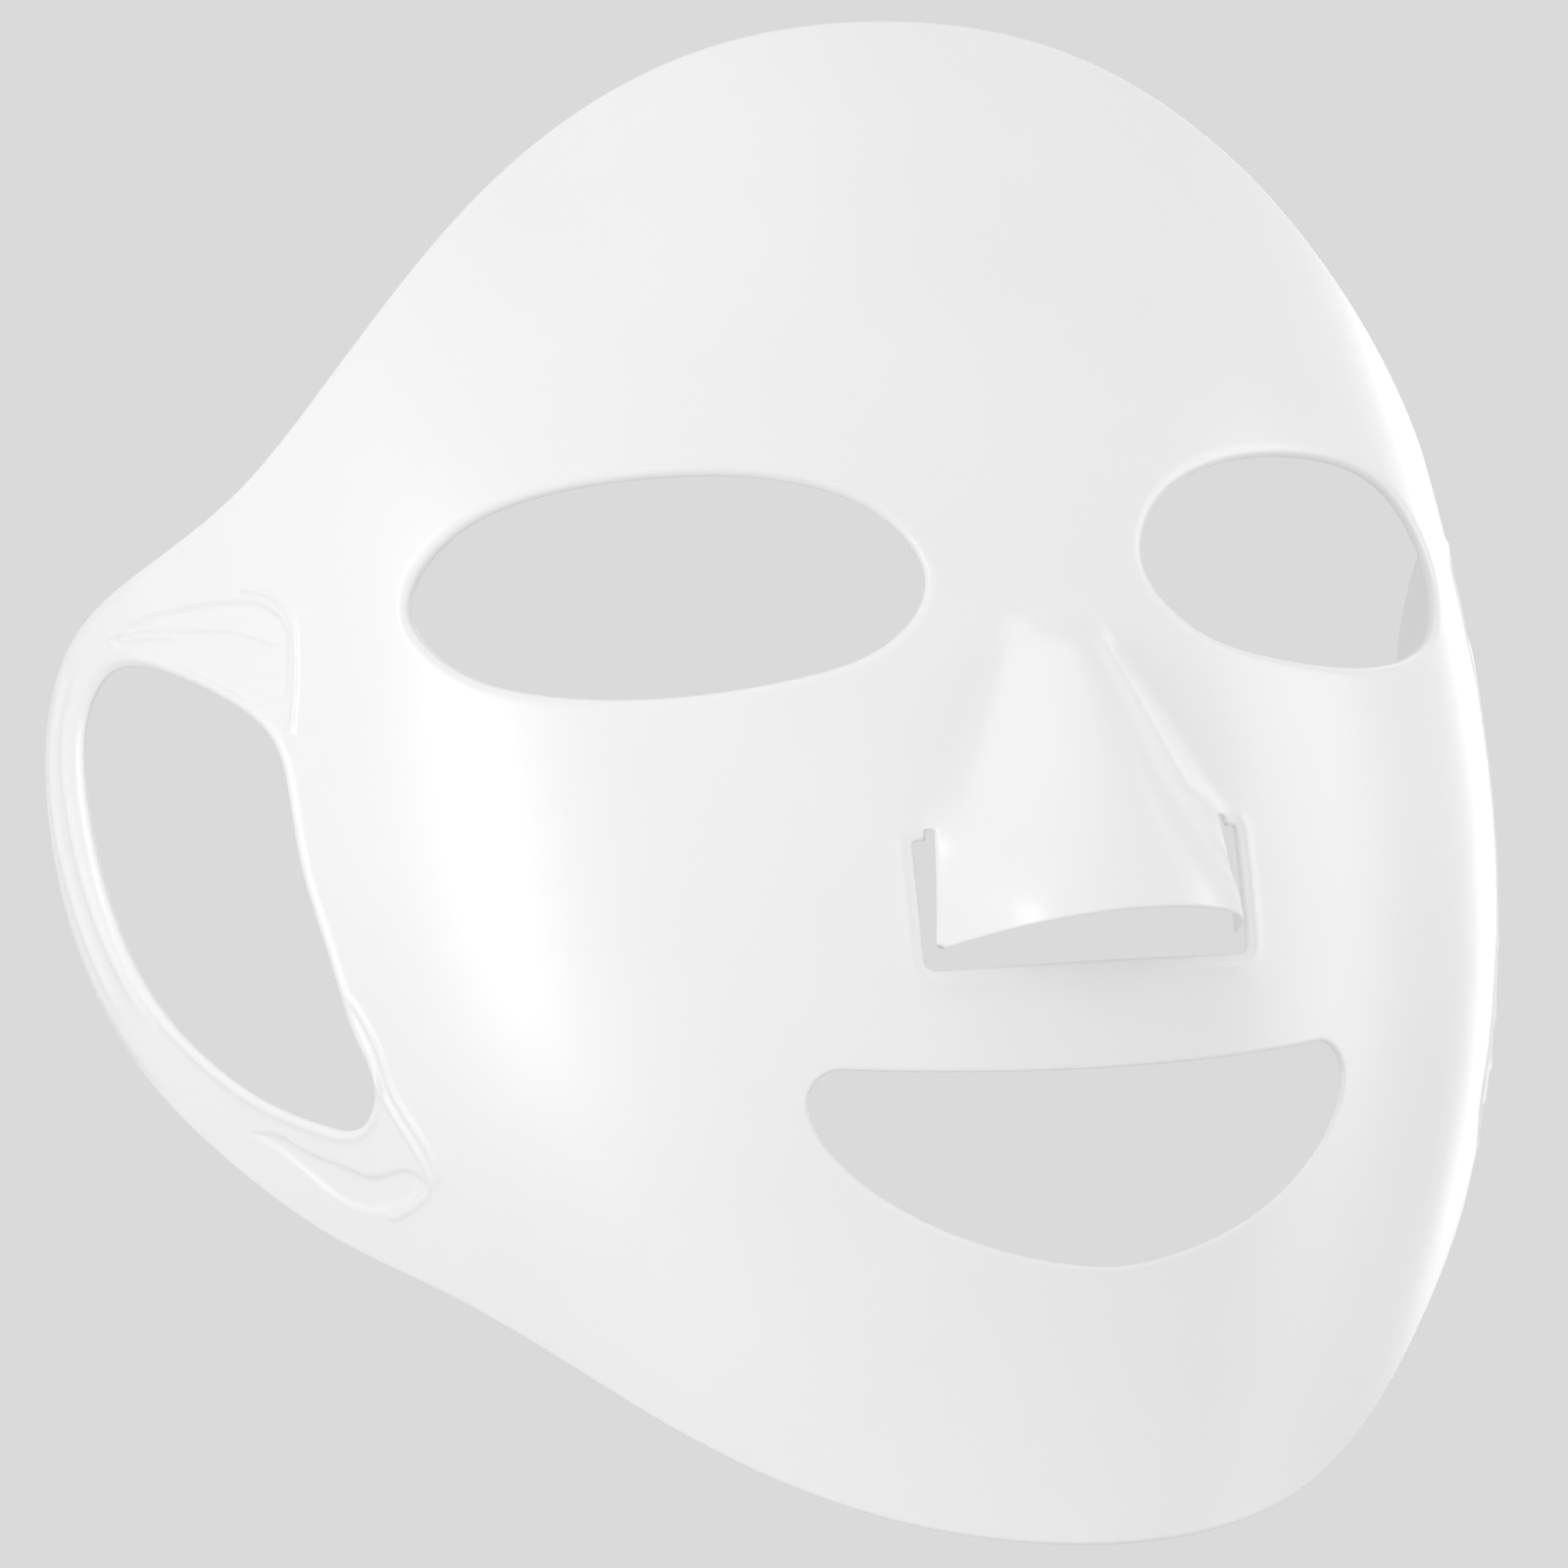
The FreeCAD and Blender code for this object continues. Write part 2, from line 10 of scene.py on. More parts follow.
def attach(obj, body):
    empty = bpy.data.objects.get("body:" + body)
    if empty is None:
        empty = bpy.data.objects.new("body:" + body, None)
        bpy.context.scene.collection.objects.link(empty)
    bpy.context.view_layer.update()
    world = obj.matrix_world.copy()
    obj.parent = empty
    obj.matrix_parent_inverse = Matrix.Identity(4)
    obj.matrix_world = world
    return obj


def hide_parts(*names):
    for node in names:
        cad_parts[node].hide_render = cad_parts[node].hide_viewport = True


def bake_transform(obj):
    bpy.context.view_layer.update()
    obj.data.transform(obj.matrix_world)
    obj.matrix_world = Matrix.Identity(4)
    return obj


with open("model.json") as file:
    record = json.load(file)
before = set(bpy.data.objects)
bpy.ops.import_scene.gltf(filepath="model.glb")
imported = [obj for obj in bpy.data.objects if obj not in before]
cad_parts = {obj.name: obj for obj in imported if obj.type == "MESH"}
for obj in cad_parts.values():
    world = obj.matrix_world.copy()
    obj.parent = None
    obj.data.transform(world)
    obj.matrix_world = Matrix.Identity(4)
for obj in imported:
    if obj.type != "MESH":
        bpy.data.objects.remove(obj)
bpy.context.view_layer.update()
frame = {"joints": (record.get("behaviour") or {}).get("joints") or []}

# The mask is one moulded silicone sheet.  It is laid out as a flat pattern first: "across"
# is the distance along the sheet from the middle line and z is the height, both in mm.
# The pattern is meshed once, wrapped on the curved skin surface with its thickness, and
# then shared out between the pieces, so that neighbouring pieces meet without a seam.

MM = 0.001
REACH = 100.0            # height that makes the level polynomials' argument 1
SECTION_STEPS = 24       # steps used to add up a level section from the middle line
NORMAL_STEP = 0.5        # step of the finite differences that give the normal
THICKNESS = 1.0

# A level section of the sheet turns from straight across towards its sides; the turn and the
# depth of the middle line change with the height, as polynomials of z / REACH.
TURN_SIDE = 84.4         # degrees
TURN_SIDE_BY_LEVEL = (14.2, -4.4, -6.6)
TURN_LENGTH = 160.0
TURN_LENGTH_BY_LEVEL = (31.0, -18.0, 9.0)
TURN_SHARPNESS = 6
DEPTH_BY_LEVEL = (25.9, 27.6, 0.0, -6.4, -0.9)
CURL_START = 118.0       # where the ear loops begin to turn in further
CURL_LENGTH = 50.0       # distance over which they turn by the angle CURL
CURL = 8.0               # degrees

# Most points of OUTLINE and EYE, and about half of EAR_HOLE, are traced edges converted by a
# program, not drawn curves.
# OUTLINE is half of the outer edge, from the middle of the forehead round the ear loop to the chin.
OUTLINE = [(0, 90.6), (27.7, 87), (47.3, 79), (65.7, 67.3), (81.9, 54.2), (98.7, 40), (117, 27.1),
           (140.6, 18), (160, 10.2), (172.2, -1.5), (175.8, -14.1), (171.2, -34.1), (158, -52.8),
           (139.5, -68.5), (120, -81.3), (99.2, -91.6), (81.3, -102.4), (64.8, -113.2),
           (47.9, -122.6), (30.2, -129.7), (0, -134.5)]
EYE = [(92.2, 5), (85.4, 14.8), (71.1, 20.4), (51.2, 21.8), (31.9, 19.1), (20.4, 12.3), (17.2, 4.5),
       (23.2, -4.2), (37, -9), (56, -10.4), (75.7, -7.9), (88.8, -1.2)]
EAR_HOLE = [(162.6, -15), (160.2, -3), (150.4, 4.5), (137.9, 2.9), (126.5, -2.7), (118.7, -10),
            (117.4, -19), (116.8, -30), (114.1, -42), (111.1, -53.4), (108.9, -61.5), (111.5, -65.8),
            (119, -65.2), (130.7, -60.3), (141.1, -53.6), (149.9, -45.8), (157.4, -35)]
# Details of the left-hand ear loop.  Each web is a leaf-shaped recess between two edges.
UPPER_WEB = [[(148.6, 8.8), (140.5, 11.2), (131, 11.9), (121.2, 11.6), (115.8, 10.2), (112.8, 7.2),
              (113, 2), (114.4, -3.6)],
             [(114.4, -3.6), (117.2, -4.7), (126.8, -0.9), (133.5, 2.5), (143.5, 6.6), (148.6, 8.8)]]
LOWER_WEB = [[(134, -64.8), (128, -65.4), (123.8, -67.8), (116.6, -70.8), (110.1, -73), (104.1, -72.7),
              (101.2, -74.9)],
             [(101.2, -74.9), (105.7, -77.4), (109.6, -78.1), (115.1, -77.2), (120.7, -73.9), (128.4, -68),
              (134, -64.8)]]
WEB_RIBS = [[(147.4, 9.5), (141, 9.6), (131.8, 8.7), (121.4, 6.8), (116, 4.6)],
            [(147.7, 8.6), (140.6, 8.5), (134.5, 7.8)]]
LOOP_BEADS = [[(119, 12.9), (114.6, 11.5), (111.6, 8), (111.7, 3), (112.9, -2.5), (114.6, -8)],
              [(111, -48), (107.1, -56), (105.8, -61), (103.6, -65.4), (99.8, -72.8), (99.5, -75)],
              [(112.6, -50), (109.4, -57), (107.1, -62.4), (104, -68), (101, -73.8), (100.8, -75.4),
               (103, -77.6), (108.5, -79.2)]]
BAND_RIDGES = [[(162.5, 4.5), (169.3, -5), (171, -16), (166.3, -32.5), (158, -47.6)],
               [(158.5, 4.2), (164.4, -3), (166.2, -16), (161.8, -32), (153, -46.5)]]

MOUTH_HALF, MOUTH_TOP, MOUTH_LIFT, MOUTH_BOTTOM, MOUTH_CORNER = 43.3, -67.5, 2.4, -95.5, 4.8
MOUTH_POWER = 1.2

NOSE_TOP = 0.0           # height where the ridge of the nose starts
NOSE_HALF_TOP = 6.0
NOSE_HALF = 23.0         # half width of the hood at its lower end
NOSE_RISE = 20.0         # how far the hood stands proud at its lower end
RAMP_POWER = 0.7         # how early the ridge of the nose rises
SOFT_START = 9.0         # height over which it leaves the plain sheet
ROUND_POWER = 2.6        # how full the section is round the nostrils
NOSE_CREASE = 0.2        # softness of the crease at the foot of the nose
RIDGE_WIDTH = 0.85       # width of the sharper section of the bridge, as a share of the foot's
RIDGE_SHARE = 0.9        # how much of the bridge's section is the sharper one
ROUND_HEIGHT = 3.5       # the hood's fully round part, above its corners
CHANGE_HEIGHT = 20.0     # height over which the round section turns into the bridge's
HINGE = -31.2            # height of the line on which the hood lifts
HOOD_CORNER = -49.5
HOOD_ARCH = 2.3
HOOD_HALF_TOP, HOOD_HALF_BOTTOM = 22.2, 23.6
SLOT_HALF = 25.4
SLOT_TOP, SLOT_STEP = -32.5, -33.9
SLOT_BOTTOM = -52.3
SLOT_RADIUS = 1.8


# ------------------------------------------------------------------ the skin surface

def polynomial(factors, level):
    """First factor times level, plus the second times its square, and so on."""
    return sum(factor * level ** (power + 1) for power, factor in enumerate(factors))


def heading(across, z):
    """Direction of a level section of the sheet, in radians from straight across."""
    level = z / REACH
    side = np.radians(TURN_SIDE + polynomial(TURN_SIDE_BY_LEVEL, level))
    part = across / (TURN_LENGTH + polynomial(TURN_LENGTH_BY_LEVEL, level))
    curled = np.clip(across - CURL_START, 0.0, None) / CURL_LENGTH
    turned = side * part / (1.0 + part ** TURN_SHARPNESS) ** (1.0 / TURN_SHARPNESS)
    return turned + math.radians(CURL) * curled ** 2


def sheet_point(across, z):
    """Points of the plain sheet's skin side."""
    step = np.abs(across) / SECTION_STEPS
    x = np.zeros_like(step)
    y = polynomial(DEPTH_BY_LEVEL, z / REACH)
    for index in range(SECTION_STEPS):
        angle = heading(step * (index + 0.5), z)
        x = x + step * np.cos(angle)
        y = y + step * np.sin(angle)
    return np.stack([np.copysign(x, across), y, z], axis=1)


def sheet_normal(across, z):
    """Unit normals on the outer side of the plain sheet."""
    along = sheet_point(across + NORMAL_STEP, z) - sheet_point(across - NORMAL_STEP, z)
    up = sheet_point(across, z + NORMAL_STEP) - sheet_point(across, z - NORMAL_STEP)
    normal = np.cross(along, up)
    return normal / np.linalg.norm(normal, axis=1)[:, None]


def ease(value):
    """Smooth step from 0 to 1."""
    value = np.clip(value, 0.0, 1.0)
    return value * value * (3.0 - 2.0 * value)


def nose_section(part, below_top, above_corner):
    """Height of a level section of the nose, 1 at the ridge and 0 at the foot."""
    full = 1.0 - part ** ROUND_POWER
    soft = (full + NOSE_CREASE) ** 2 / (4.0 * NOSE_CREASE)
    full = np.where(full < -NOSE_CREASE, 0.0, np.where(full < NOSE_CREASE, soft, full))
    sharp = np.clip(1.0 - (part / RIDGE_WIDTH) ** 2, 0.0, None) ** 2
    share = RIDGE_SHARE * ease(below_top / SOFT_START) * ease((above_corner - ROUND_HEIGHT) / CHANGE_HEIGHT)
    return sharp * share + full * (1.0 - share)


def nose_relief(across, z):
    """How far the nose stands proud of the plain sheet."""
    below_top = np.clip(NOSE_TOP - z, 0.0, None)
    grown = np.clip(below_top / (NOSE_TOP - HINGE), 0.0, 1.0)
    half = NOSE_HALF_TOP * (1.0 - grown) + NOSE_HALF * grown
    section = nose_section(np.abs(across) / half, below_top, z - HOOD_CORNER)
    beyond_gap = (z < SLOT_TOP) & (np.abs(across) > (HOOD_HALF_TOP + SLOT_HALF) / 2.0)
    section[beyond_gap | (z < SLOT_BOTTOM + SLOT_RADIUS / 2.0)] = 0.0
    ramp = below_top / (NOSE_TOP - HOOD_CORNER)
    return NOSE_RISE * ramp ** RAMP_POWER * ease(below_top / SOFT_START) * section


# ------------------------------------------------------------------ outlines in the pattern

def spline(points, closed, pieces=24):
    """Cubic spline through points, with chord-length parameters, finely sampled."""
    p = np.array(points, float)
    q = np.vstack([p, p[:1]]) if closed else p
    h = np.linalg.norm(np.diff(q, axis=0), axis=1)
    n = len(q) - 1
    slope = np.diff(q, axis=0) / h[:, None]
    size = n if closed else n + 1
    a = np.zeros((size, size))
    b = np.zeros((size, 2))
    for i in range(size):
        if not closed and i in (0, n):
            a[i, i] = 1.0
            continue
        before = h[i - 1]
        after = h[i]
        a[i, (i - 1) % size] += before
        a[i, i] += 2.0 * (before + after)
        a[i, (i + 1) % size] += after
        b[i] = 6.0 * (slope[i] - slope[i - 1])
    m = np.linalg.solve(a, b)
    if closed:
        m = np.vstack([m, m[:1]])
    out = []
    for i in range(n):
        t = np.linspace(0.0, 1.0, pieces, endpoint=False)[:, None]
        u = 1.0 - t
        out.append(q[i] * u + q[i + 1] * t
                   + h[i] ** 2 / 6.0 * ((u ** 3 - u) * m[i] + (t ** 3 - t) * m[i + 1]))
    if not closed:
        out.append(q[-1:])
    return np.vstack(out)


def even(points, spacing, closed):
    """The same line with evenly spaced points."""
    p = np.vstack([points, points[:1]]) if closed else np.array(points)
    run = np.concatenate([[0.0], np.cumsum(np.linalg.norm(np.diff(p, axis=0), axis=1))])
    count = max(3, int(round(run[-1] / spacing)))
    want = np.linspace(0.0, run[-1], count + 1)
    if closed:
        want = want[:-1]
    return np.stack([np.interp(want, run, p[:, 0]), np.interp(want, run, p[:, 1])], axis=1)


def mirrored(points):
    """The same outline on the other side, turned so that it runs the same way round."""
    return (np.array(points) * (-1.0, 1.0))[::-1]


def arc(centre, radius, start, stop, steps=10):
    """Points of a circular arc, angles in degrees."""
    angles = np.radians(np.linspace(start, stop, steps))
    return np.stack([centre[0] + radius * np.cos(angles), centre[1] + radius * np.sin(angles)], axis=1)


def mouth_loop():
    """Half moon: nearly straight upper lip, round corners, superellipse below."""
    lifted = MOUTH_TOP + MOUTH_LIFT
    corner = lifted - MOUTH_CORNER
    drop = corner - MOUTH_BOTTOM
    turn = np.linspace(0.0, math.pi / 2.0, 40)
    bow = np.stack([MOUTH_HALF * np.cos(turn) ** MOUTH_POWER, corner - drop * np.sin(turn) ** MOUTH_POWER], 1)
    reach = MOUTH_HALF - MOUTH_CORNER
    across = np.linspace(-reach, reach, 40)
    top = np.stack([across, MOUTH_TOP + MOUTH_LIFT * (across / reach) ** 2], 1)
    near = arc((-reach, corner), MOUTH_CORNER, 180, 90)
    far = arc((reach, corner), MOUTH_CORNER, 90, 0)
    return np.vstack([near, top[1:-1], far, bow[1:], mirrored(bow[1:-1])])


def slot_loop():
    """U-shaped gap round the hood; each leg ends in a narrow step."""
    r, hood_r, step_r = SLOT_RADIUS, 0.8, 0.5
    step = (HOOD_HALF_TOP + SLOT_HALF) / 2.0 - 0.3
    leg = np.vstack([[(HOOD_HALF_TOP, SLOT_TOP), (step, SLOT_TOP), (step, SLOT_STEP)],
                     arc((SLOT_HALF - step_r, SLOT_STEP - step_r), step_r, 90, 0, 4),
                     arc((SLOT_HALF - r, SLOT_BOTTOM + r), r, 0, -90)])
    reach = HOOD_HALF_BOTTOM - hood_r
    across = np.linspace(-reach, reach, 60)
    edge = HOOD_CORNER + HOOD_ARCH * (1.0 - (across / HOOD_HALF_BOTTOM) ** 2)
    arch = np.stack([across, edge], 1)
    left_corner = arc((-reach, edge[0] + hood_r), hood_r, 180, 270, 6)
    right_corner = arc((reach, edge[0] + hood_r), hood_r, 270, 360, 6)
    return np.vstack([leg, mirrored(leg), left_corner, arch[1:-1], right_corner])


outer_edge = OUTLINE + [(-across, z) for across, z in OUTLINE[-2:0:-1]]
LOOPS = {"outline": even(spline(outer_edge, True), 1.0, True),
         "mouth": even(mouth_loop(), 0.8, True),
         "slot": even(slot_loop(), 0.5, True)}
for side_name, turn in (("left", np.array), ("right", mirrored)):
    LOOPS["eye_" + side_name] = even(turn(spline(EYE, True)), 0.8, True)
    LOOPS["ear_" + side_name] = even(turn(spline(EAR_HOLE, True)), 0.8, True)


# ------------------------------------------------------------------ distances in the pattern

def distance_to(points, line, closed):
    """Shortest distance from each pattern point to a line of evenly spaced points."""
    tree = kdtree.KDTree(len(line))
    for index, (x, y) in enumerate(line):
        tree.insert((x, y, 0.0), index)
    tree.balance()
    nearest = np.array([tree.find((x, y, 0.0))[1] for x, y in points])
    best = np.full(len(points), 1e9)
    for first in (nearest - 1, nearest):
        last = first + 1
        if closed:
            first, last = first % len(line), last % len(line)
        else:
            first, last = np.clip(first, 0, len(line) - 2), np.clip(last, 1, len(line) - 1)
        a, run = line[first], line[last] - line[first]
        to = points - a
        t = np.clip((to * run).sum(axis=1) / (run ** 2).sum(axis=1), 0.0, 1.0)
        best = np.minimum(best, np.linalg.norm(to - t[:, None] * run, axis=1))
    return best


def inside(points, line):
    """Whether each pattern point is inside a closed line."""
    x, y = points[:, 0], points[:, 1]
    odd = np.zeros(len(points), bool)
    for (x0, y0), (x1, y1) in zip(line, np.roll(line, -1, axis=0)):
        if y0 == y1:
            continue
        crosses = ((y0 > y) != (y1 > y)) & (x < (x1 - x0) * (y - y0) / (y1 - y0) + x0)
        odd ^= crosses
    return odd


def into_sheet(name):
    """Unit directions from a loop's points into the sheet."""
    line = LOOPS[name]
    along = np.roll(line, -1, axis=0) - np.roll(line, 1, axis=0)
    along /= np.linalg.norm(along, axis=1)[:, None]
    left = np.stack([-along[:, 1], along[:, 0]], axis=1)
    x, y = line[:, 0], line[:, 1]
    area = (x * np.roll(y, -1) - np.roll(x, -1) * y).sum()
    wants_inside = name == "outline"
    return left if (area > 0) == wants_inside else -left


def on_sheet(points):
    """Whether each pattern point is on the sheet."""
    result = inside(points, LOOPS["outline"])
    for name, line in LOOPS.items():
        if name != "outline":
            result &= ~inside(points, line)
    return result


# ------------------------------------------------------------------ meshing the pattern

EDGE_ROWS = (0.038, 0.146, 0.309, 0.5, 0.8, 1.15, 1.5, 1.9, 2.5)
FEATURE_ROWS = (-1.4, -0.9, -0.55, -0.28, 0.0, 0.28, 0.55, 0.9, 1.4)
GRID = 2.0


def rows_along(line, closed, offsets):
    """Points beside a line at several distances from it."""
    if closed:
        along = np.roll(line, -1, axis=0) - np.roll(line, 1, axis=0)
    else:
        along = np.gradient(line, axis=0)
    along /= np.linalg.norm(along, axis=1)[:, None]
    left = np.stack([-along[:, 1], along[:, 0]], axis=1)
    return np.vstack([line + left * offset for offset in offsets])


def far_from(candidates, accepted, gap):
    """Candidates that are at least a gap away from every accepted point."""
    tree = kdtree.KDTree(len(accepted))
    for index, (x, y) in enumerate(accepted):
        tree.insert((x, y, 0.0), index)
    tree.balance()
    keep = [tree.find((x, y, 0.0))[2] >= gap for x, y in candidates]
    return candidates[np.array(keep, bool)]


def edge_distance(points):
    """Distance to the nearest free edge of the sheet."""
    return np.min([distance_to(points, line, True) for line in LOOPS.values()], axis=0)


def leaf(edges):
    """Closed outline made of two open curves that meet at sharp points."""
    return np.vstack([spline(edge, False)[:-1] for edge in edges])


NOSE_FOOT = [(NOSE_HALF_TOP, NOSE_TOP - 0.4), (NOSE_HALF, HINGE)]
FEATURES = []
for turn in (np.array, mirrored):
    for web in (UPPER_WEB, LOWER_WEB):
        FEATURES.append((even(turn(leaf(web)), 0.7, True), True))
    for line in WEB_RIBS + LOOP_BEADS + BAND_RIDGES + [NOSE_FOOT]:
        FEATURES.append((even(turn(spline(line, False)), 0.7, False), False))


def pattern_mesh():
    """Vertices and triangles of the whole flat sheet; the free-edge vertices come first."""
    corners = []
    edges = []
    for line in LOOPS.values():
        start = len(corners)
        count = len(line)
        corners.extend(line.tolist())
        edges.extend((start + i, start + (i + 1) % count) for i in range(count))
    fixed = np.array(corners)
    rows = []
    for name in LOOPS:
        line, direction = LOOPS[name], into_sheet(name)
        for gap in EDGE_ROWS:
            row = line + direction * gap
            rows.append(row[edge_distance(row) > gap * 0.97])
    points = np.vstack([fixed] + rows)
    for line, closed in FEATURES:
        row = rows_along(line, closed, FEATURE_ROWS)
        row = row[on_sheet(row)]
        row = row[edge_distance(row) > 0.5]
        points = np.vstack([points, far_from(row, points, 0.2)])
    xs, ys = np.meshgrid(np.arange(-27, 28) * 1.0, np.arange(-52, 6) * 1.0)
    fine = np.stack([xs.ravel(), ys.ravel()], axis=1)
    points = np.vstack([points, far_from(fine[on_sheet(fine)], points, 0.55)])
    xs, ys = np.meshgrid(np.arange(-90, 91) * GRID, np.arange(-80, 56) * GRID * math.sqrt(0.75))
    xs[1::2] += GRID / 2.0
    grid = np.stack([xs.ravel(), ys.ravel()], axis=1)
    grid = grid[on_sheet(grid)]
    points = np.vstack([points, far_from(grid, points, GRID * 0.55)])
    found = delaunay_2d_cdt([Vector(p) for p in points], edges, [], 0, 1e-7, True)
    at = np.array([tuple(v) for v in found[0]])
    triangles = np.array([f for f in found[2] if len(f) == 3])
    middle = at[triangles].mean(axis=1)
    triangles = triangles[on_sheet(middle)]
    free = np.zeros(len(at), bool)
    for index, sources in enumerate(found[3]):
        free[index] = any(source < len(fixed) for source in sources)
    used = np.unique(triangles)
    place = np.full(len(at), -1)
    place[used] = np.arange(len(used))
    return at[used], place[triangles], free[used]


pattern, triangles, free = pattern_mesh()
print("pattern: %d points, %d triangles" % (len(pattern), len(triangles)))


# ------------------------------------------------------------------ relief and thickness

EYE_ROLL_WIDTH, EYE_ROLL_DEPTH = 1.9, 0.8
BAND_HEIGHT = 0.8
BAND_SLANT = 0.35        # lean of the line where the ear band starts to thicken
BAND_STARTS = (126.0, 128.0)
BAND_RAMPS = (16.0, 14.0)
RIDGE_HEIGHT, RIDGE_HALF = 0.42, 1.5
RIB_HEIGHT, RIB_HALF = 0.24, 0.7
BEAD_HEIGHT, BEAD_HALF = 0.3, 0.75
WEB_DEPTH = 0.42
HOLE_BEAD = 0.3
SLOT_BEAD = 0.14


def bump(distance, half_width):
    """Rounded ridge, 1 on its line and 0 at its half width."""
    return 0.5 + 0.5 * np.cos(math.pi * np.clip(distance / half_width, -1.0, 1.0))


def fold_side(points):
    """Pattern points taken to the left-hand side."""
    return np.stack([np.abs(points[:, 0]), points[:, 1]], axis=1)


def sheet_shape(points):
    """Shift of both sides of the sheet, and the height of the outer side over it."""
    across, z = points[:, 0], points[:, 1]
    half = fold_side(points)
    shift = nose_relief(across, z)
    height = np.full(len(points), THICKNESS)

    eye = distance_to(half, LOOPS["eye_left"], True)
    rolled = np.clip(1.0 - eye / EYE_ROLL_WIDTH, 0.0, 1.0)
    shift -= EYE_ROLL_DEPTH * (1.0 - np.sqrt(1.0 - 0.96 * rolled ** 2)) / 0.8

    outer = distance_to(half, LOOPS["outline"], True)
    hole = distance_to(half, LOOPS["ear_left"], True)
    band = ease((half[:, 0] + BAND_SLANT * half[:, 1] - BAND_STARTS[0]) / BAND_RAMPS[0])
    band *= ease((half[:, 0] - BAND_STARTS[1]) / BAND_RAMPS[1])
    height += band * BAND_HEIGHT * ease(np.minimum(outer, hole) / 2.5)
    for ridge in BAND_RIDGES:
        away = distance_to(half, even(spline(ridge, False), 0.7, False), False)
        faded = ease(hole / 1.5) * ease((z + 50.0) / 16.0) * ease((9.0 - z) / 8.0)
        height += RIDGE_HEIGHT * bump(away, RIDGE_HALF) * faded
    height += HOLE_BEAD * bump(hole - 1.0, 0.9) * ease((half[:, 0] - 100.0) / 4.0)

    for web in (UPPER_WEB, LOWER_WEB):
        line = even(leaf(web), 0.7, True)
        away = distance_to(half, line, True)
        signed = np.where(inside(half, line), away, -away)
        height -= WEB_DEPTH * ease((signed + 0.1) / 0.9)
    raised = [(rib, RIB_HEIGHT, RIB_HALF) for rib in WEB_RIBS]
    raised += [(bead, BEAD_HEIGHT, BEAD_HALF) for bead in LOOP_BEADS]
    for line, rise, half_width in raised:
        away = distance_to(half, even(spline(line, False), 0.7, False), False)
        height += rise * bump(away, half_width)
    slot = distance_to(half, LOOPS["slot"], True)
    round_slot = ease((half[:, 0] - SLOT_HALF) / 0.5) + ease((SLOT_BOTTOM - z) / 0.5)
    height += SLOT_BEAD * bump(slot - 1.8, 0.9) * np.clip(round_slot, 0.0, 1.0) * (z < SLOT_TOP)
    return shift, height


shift, height = sheet_shape(pattern)
to_edge = edge_distance(pattern)
to_edge[free] = 0.0
radius = height / 2.0
swell = np.sqrt(1.0 - (1.0 - np.clip(to_edge / radius, 0.0, 1.0)) ** 2)
middle = shift + radius
base = sheet_point(pattern[:, 0], pattern[:, 1])
normal = sheet_normal(pattern[:, 0], pattern[:, 1])
outside = (base + normal * (middle + radius * swell)[:, None]) * MM
within = (base + normal * (middle - radius * swell)[:, None]) * MM


def shading_normals():
    """Smooth normals of the whole closed sheet, outer side and skin side."""
    count = len(pattern)
    other = np.where(free, np.arange(count), np.arange(count) + count)
    points = np.vstack([outside, within])
    faces = np.vstack([triangles, other[triangles[:, ::-1]]])
    a, b, c = points[faces[:, 0]], points[faces[:, 1]], points[faces[:, 2]]
    face_normal = np.cross(b - a, c - a)
    total = np.zeros_like(points)
    unit = face_normal / (np.linalg.norm(face_normal, axis=1)[:, None] + 1e-30)
    for corner, (p, q, r) in enumerate(((a, b, c), (b, c, a), (c, a, b))):
        u, v = q - p, r - p
        cosine = (u * v).sum(axis=1) / (np.linalg.norm(u, axis=1) * np.linalg.norm(v, axis=1) + 1e-30)
        angle = np.arccos(np.clip(cosine, -1.0, 1.0))
        np.add.at(total, faces[:, corner], unit * angle[:, None])
    total /= np.linalg.norm(total, axis=1)[:, None] + 1e-30
    return total[:count], total[other]


outside_normal, within_normal = shading_normals()


# ------------------------------------------------------------------ material

